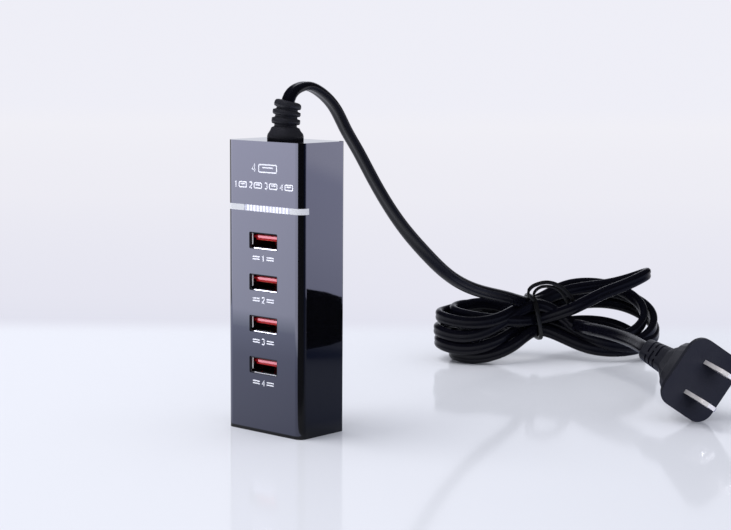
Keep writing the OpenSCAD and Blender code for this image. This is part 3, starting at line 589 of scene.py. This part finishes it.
def finish_of(name, color, rough, metal=0.0, bump=0.0, grain=3000.0, vary=0.06, ior=1.5, spread=0.25):
    """Moulded, plated or painted finish: fine grain in the bump, slow change in colour and roughness."""
    made, tree, shader = nodes_of(name)
    place = add(tree, "ShaderNodeTexCoord")["Object"]
    slow = add(tree, "ShaderNodeTexNoise", {"Vector": place, "Scale": SLOW_SCALE, "Detail": 3})["Fac"]
    darker = (*[max(c * (1 - vary), 0) for c in color], 1)
    lighter = (*[min(c * (1 + vary), 1) for c in color], 1)
    tint = add(tree, "ShaderNodeMix", {"Factor": slow, "A": darker, "B": lighter}, data_type="RGBA")
    tree.links.new(tint["Result"], shader.inputs["Base Color"])
    rougher = ranged(tree, slow, *SLOW_RANGE, rough * (1 - spread), rough * (1 + spread))
    tree.links.new(rougher, shader.inputs["Roughness"])
    shader.inputs["Metallic"].default_value = metal
    shader.inputs["IOR"].default_value = ior
    if bump:
        fine = add(tree, "ShaderNodeTexNoise", {"Vector": place, "Scale": grain, "Detail": 2})["Fac"]
        raised = add(tree, "ShaderNodeBump", {"Height": fine, "Strength": bump, "Distance": GRAIN_DEPTH})
        tree.links.new(raised["Normal"], shader.inputs["Normal"])
    return made


LOOKS = {
    "gloss_black": dict(color=(0.002, 0.002, 0.003), rough=0.03, vary=0.1, spread=0.3),
    "clear_strip": dict(color=(0.88, 0.89, 0.93), rough=0.12, bump=0.05, grain=900),
    "led": dict(color=(0.9, 0.87, 0.7), rough=0.3),
    "lip_plate": dict(color=(0.9, 0.9, 0.9), rough=0.2, metal=1, bump=0.04),
    "tongue_edge": dict(color=(0.4, 0.01, 0.015), rough=0.15, ior=1.9, bump=0.03),
    # Pale grey that paints the highlight on a sleeve's left edge
    "painted_glint_steel": dict(color=(0.8, 0.8, 0.82), rough=0.5, bump=0.05),
    "gland_black": dict(color=(0.022, 0.022, 0.03), rough=0.4, bump=0.25, grain=2400),
    # Bluish grey that paints the shade in the grooves between the strip's ribs
    "groove_shade": dict(color=(0.42, 0.43, 0.52), rough=0.3, bump=0.05),
    "rib_white": dict(color=(0.93, 0.93, 0.96), rough=0.25, bump=0.05),
    "white_print": dict(color=(0.85, 0.86, 0.9), rough=0.4, bump=0.05),
    "circuit_board": dict(color=(0.02, 0.16, 0.06), rough=0.35, bump=0.1),
    # Painted shade: the plated steel is turned down to a dark 0.1, so the outlet sleeves look dark inside
    "sheet_steel": dict(color=(0.10, 0.10, 0.11), rough=0.3, metal=1, bump=0.05),
    "red_plastic": dict(color=(0.62, 0.012, 0.016), rough=0.3, bump=0.05),
    "gold_plate": dict(color=(0.85, 0.6, 0.22), rough=0.25, metal=1),
    "ferrite": dict(color=(0.05, 0.05, 0.055), rough=0.6, bump=0.2),
    "pale_plastic": dict(color=(0.75, 0.72, 0.62), rough=0.4, bump=0.1),
    "yellow_tape": dict(color=(0.85, 0.5, 0.04), rough=0.35, bump=0.1),
    "copper_wire": dict(color=(0.7, 0.28, 0.12), rough=0.3, metal=1, bump=0.2, grain=1500),
    "capacitor_sleeve": dict(color=(0.02, 0.03, 0.09), rough=0.3, bump=0.05),
    "fuse_brown": dict(color=(0.13, 0.05, 0.03), rough=0.4, bump=0.05),
    "capacitor_yellow": dict(color=(0.8, 0.6, 0.03), rough=0.35, bump=0.05),
    "capacitor_blue": dict(color=(0.03, 0.12, 0.4), rough=0.35, bump=0.1),
    "chip_black": dict(color=(0.02, 0.02, 0.022), rough=0.5, bump=0.15),
    "wire_brown": dict(color=(0.12, 0.04, 0.015), rough=0.4, bump=0.05),
    "wire_blue": dict(color=(0.01, 0.04, 0.25), rough=0.4, bump=0.05),
    "cord_black": dict(color=(0.0025, 0.0025, 0.006), rough=0.26, bump=0.05, grain=1800, ior=1.33),
    "tie_black": dict(color=(0.006, 0.006, 0.007), rough=0.35, bump=0.1),
    "plug_black": dict(color=(0.0075, 0.008, 0.014), rough=0.42, bump=0.3, grain=2600, ior=1.25),
    "blade_plate": dict(color=(0.8, 0.77, 0.78), rough=0.22, metal=0.55, bump=0.06),
}
FINISHES = {name: finish_of(name, **look) for name, look in LOOKS.items()}
bowed_wall(FINISHES["gloss_black"].node_tree)
# The edges of the tongues reflect light in their own red
RED_GLOSS = (1, 0.42, 0.42, 1)
red_edge = FINISHES["tongue_edge"].node_tree.nodes["Principled BSDF"]
red_edge.inputs["Specular Tint"].default_value = RED_GLOSS
for entry in frame["record"]["subparts"]:
    node = frame["nodes"].get(entry["node"])
    if node is not None:
        for place in node.material_slots:
            place.material = FINISHES[entry["material_slot"]]


def dress(piece, finish):
    piece.data.materials.clear()
    piece.data.materials.append(FINISHES[finish])


dress(cord, "cord_black")
for piece in (tie, tie_tail, tie_loop):
    dress(piece, "tie_black")
for finish, piece in trim:
    dress(piece, finish)
    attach(piece, "root")
dress(gland, "gland_black")
for piece in (cord, tie, gland):
    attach(piece, "root")
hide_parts("cord_run", "cord_coil", "plug_lead")
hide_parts("cord_tie")
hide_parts("cord_gland")

# The table runs this way, and a lit backdrop takes over between these distances in metres along it
AWAY = (-0.663, 0.749, 0)
TABLE_END, BACKDROP_START = 0.20, 0.25
# The backdrop's tones run between these distances, from there on it keeps the last one
TONES_START, TONES_END = 0.24, 3.0
BACKDROP = (0.86, 0.86, 0.93)
BACKDROP_TONES = [(0.0, (0.765, 0.770, 0.865)), (0.03, (0.790, 0.790, 0.880)), (0.25, (0.845, 0.840, 0.905)),
                  (0.7, (0.875, 0.870, 0.925)), (1.0, BACKDROP)]
TABLE_TONES = [(0.35, (0.735, 0.750, 0.815)), (0.65, (0.760, 0.775, 0.838))]
TABLE_ROUGH, TABLE_SPECULAR, TABLE_IOR = 0.09, 0.2, 1.2
# Glossy surfaces hardly see the table in front of the charger and on its right, where the studio is dark.
# Each row says from where to where this sets in, along AWAY or X, and how strong it is at both places.
DARK_IN_FRONT = (0.02, -0.08, 0, 0.85)
DARK_ON_RIGHT = (0.005, 0.03, 0, 0.62)
# They see this blue there instead, which sets in along Y
DARK_GLOW = (0, 0.03, 0.2, 1)
DARK_GLOW_FROM, DARK_GLOW_AT = -0.02, 0.02
FLOOR_HALF = 60


def floor_finish():
    """Pale glossy table that runs softly into a lit backdrop behind the hank."""
    made, tree, shader = nodes_of("pale_table")
    place = add(tree, "ShaderNodeTexCoord")["Object"]
    sides = add(tree, "ShaderNodeSeparateXYZ", {"Vector": place})
    along = add(tree, "ShaderNodeVectorMath", {0: place, 1: AWAY}, operation="DOT_PRODUCT")["Value"]
    cloud = add(tree, "ShaderNodeTexNoise", {"Vector": place, "Scale": 3, "Detail": 1})["Fac"]
    tree.links.new(ramp_of(tree, cloud, TABLE_TONES), shader.inputs["Base Color"])
    shader.inputs["Roughness"].default_value = TABLE_ROUGH
    shader.inputs["Specular IOR Level"].default_value = TABLE_SPECULAR
    shader.inputs["IOR"].default_value = TABLE_IOR
    front = ranged(tree, along, *DARK_IN_FRONT)
    right = ranged(tree, sides["X"], *DARK_ON_RIGHT)
    either = add(tree, "ShaderNodeMath", {0: front, 1: right}, operation="MAXIMUM")["Value"]
    in_gloss = add(tree, "ShaderNodeLightPath")["Is Glossy Ray"]
    unlit = add(tree, "ShaderNodeMath", {0: in_gloss, 1: either}, operation="MULTIPLY")["Value"]
    glow = ranged(tree, sides["Y"], DARK_GLOW_FROM, DARK_GLOW_AT)
    dark = add(tree, "ShaderNodeEmission", {"Color": DARK_GLOW, "Strength": glow})["Emission"]
    table = add(tree, "ShaderNodeMixShader", {"Fac": unlit, 1: shader.outputs["BSDF"], 2: dark})["Shader"]
    tones = ramp_of(tree, ranged(tree, along, TONES_START, TONES_END), BACKDROP_TONES)
    backdrop = add(tree, "ShaderNodeEmission", {"Color": tones})["Emission"]
    past_end = ranged(tree, along, TABLE_END, BACKDROP_START, interpolation="SMOOTHSTEP")
    mixed = add(tree, "ShaderNodeMixShader", {"Fac": past_end, 1: table, 2: backdrop})["Shader"]
    tree.links.new(mixed, tree.nodes["Material Output"].inputs["Surface"])
    return made


floor_corners = [(x * FLOOR_HALF, y * FLOOR_HALF, 0) for x, y in ((-1, -1), (1, -1), (1, 1), (-1, 1))]
floor = new_object("table_top", floor_corners, [(0, 1, 2, 3)], smooth=False)
floor.data.materials.append(floor_finish())


def area_light(name, place, look_at, size, color, power, top=None):
    """Rectangular lamp that looks at a point, with its top turned towards a direction if one is given."""
    data = bpy.data.lights.new(name, "AREA")
    data.shape = "RECTANGLE"
    data.size, data.size_y = size
    data.energy = power
    data.color = color
    lamp = bpy.data.objects.new(name, data)
    back = (Vector(place) - Vector(look_at)).normalized()
    if top is None:
        turn = (-back).to_track_quat("-Z", "Y").to_matrix()
    else:
        turn = Matrix((Vector(top).cross(back), Vector(top), back)).transposed()
    lamp.matrix_world = Matrix.Translation(place) @ turn.to_4x4()
    lamp.visible_camera = False
    bpy.context.scene.collection.objects.link(lamp)
    return lamp


def light_only(lamp, pieces):
    """Let the lamp reach these pieces alone."""
    lit = bpy.data.collections.new(lamp.name + "_pieces")
    for piece in pieces:
        lit.objects.link(piece)
    lamp.light_linking.receiver_collection = lit


# A ramp holds no colour above 1, so a panel's tones are divided by this and its strength makes up for it
PANEL_GAIN = 10


def mirrored_panel(name, pieces, place, look_at, size, tones, middle, top=None):
    """Panel that shows only as a reflection in these pieces, in three tones from its lower edge up."""
    lamp = area_light(name, place, look_at, size, (1, 1, 1), math.pi * size[0] * size[1], top)
    lamp.visible_diffuse = False
    light_only(lamp, pieces)
    lamp.data.use_nodes = True
    tree = lamp.data.node_tree
    across = add(tree, "ShaderNodeNewGeometry")["Parametric"]
    height = add(tree, "ShaderNodeSeparateXYZ", {"Vector": across})["Y"]
    stops = [(at, [c / PANEL_GAIN for c in tone]) for at, tone in zip((0.0, middle, 1.0), tones)]
    emission = tree.nodes["Emission"]
    tree.links.new(ramp_of(tree, height, stops), emission.inputs["Color"])
    emission.inputs["Strength"].default_value = PANEL_GAIN


def cad_nodes(*names):
    return [frame["nodes"][name] for name in names]


casing = cad_nodes("housing", "back_cover")
mirrored_panel("front_panel", casing, place=(-0.155, -0.167, 0.053), look_at=(-0.155, 0, 0.053),
               size=(0.366, 0.104), tones=((2.0, 2.2, 3.2), (4.05, 4.2, 5.7), (5.9, 6.0, 8.1)), middle=0.08)
mirrored_panel("front_floor_panel", casing, place=(-0.14, -0.0892, 0.001), look_at=(-0.14, -0.0892, 1),
               size=(0.32, 0.1556), tones=((0.85, 0.92, 1.5), (1.2, 1.3, 2.1), (1.8, 1.95, 3.0)),
               middle=0.65, top=(0, -1, 0))
mirrored_panel("side_panel", casing, place=(0.164, 0.227, 0.06), look_at=(0.018, 0, 0.06),
               size=(0.20, 0.12), tones=((1.55, 1.6, 2.3), (1.95, 2.0, 2.85), (2.45, 2.5, 3.7)), middle=0.25)
mirrored_panel("outlet_panel", [piece for finish, piece in trim if finish != "painted_glint_steel"],
               place=(-0.053, -0.07, 0.05), look_at=(-0.053, 0, 0.05),
               size=(0.2, 0.11), tones=((5.0, 5.1, 6.5), (5.5, 5.6, 7.0), (6.0, 6.1, 7.5)), middle=0.5)
mirrored_panel("blade_panel", cad_nodes("plug_blade_1", "plug_blade_2"),
               place=(-0.217, 0.15, 0.15), look_at=(0.105, 0.108, 0.02),
               size=(0.9, 0.9), tones=((0.9, 0.88, 0.9), (1.0, 0.97, 1.0), (1.1, 1.07, 1.1)), middle=0.5)
plug_light = area_light("plug_light", place=(0.55, -0.15, 0.12), look_at=(0.105, 0.108, 0.015),
                        size=(0.3, 0.3), color=(0.93, 0.95, 1), power=4.0)
light_only(plug_light, cad_nodes("plug_body", "plug_blade_1", "plug_blade_2"))
key = area_light("key", place=(-0.35, -0.25, 0.9), look_at=(0, 0.05, 0.05),
                 size=(0.7, 0.7), color=(1, 0.99, 0.97), power=5.5)
key.visible_glossy = False

# The world: soft light all round, the backdrop's colour where it is seen, and in glossy surfaces a dark
# studio that gets bright behind the table. MIRRORED says from where to where along AWAY, and how strong it
# is at both places.
MIRRORED = (0.72, 0.97, 0.03, 1.0)
MIRRORED_COLOR = (0.88, 0.9, 1, 1)
SOFT_COLOR, SOFT_STRENGTH = (0.93, 0.95, 1, 1), 0.75

world = bpy.data.worlds.new("studio")
bpy.context.scene.world = world
world.use_nodes = True
tree = world.node_tree
tree.nodes.clear()
direction = add(tree, "ShaderNodeTexCoord")["Generated"]
behind = add(tree, "ShaderNodeVectorMath", {0: direction, 1: AWAY}, operation="DOT_PRODUCT")["Value"]
mirrored = ranged(tree, behind, *MIRRORED)
glossy = add(tree, "ShaderNodeBackground", {"Color": MIRRORED_COLOR, "Strength": mirrored})["Background"]
soft = add(tree, "ShaderNodeBackground", {"Color": SOFT_COLOR, "Strength": SOFT_STRENGTH})["Background"]
seen = add(tree, "ShaderNodeBackground", {"Color": (*BACKDROP, 1), "Strength": 1})["Background"]
rays = add(tree, "ShaderNodeLightPath")
by_gloss = add(tree, "ShaderNodeMixShader", {"Fac": rays["Is Glossy Ray"], 1: soft, 2: glossy})["Shader"]
by_camera = add(tree, "ShaderNodeMixShader", {"Fac": rays["Is Camera Ray"], 1: by_gloss, 2: seen})["Shader"]
add(tree, "ShaderNodeOutputWorld", {"Surface": by_camera})
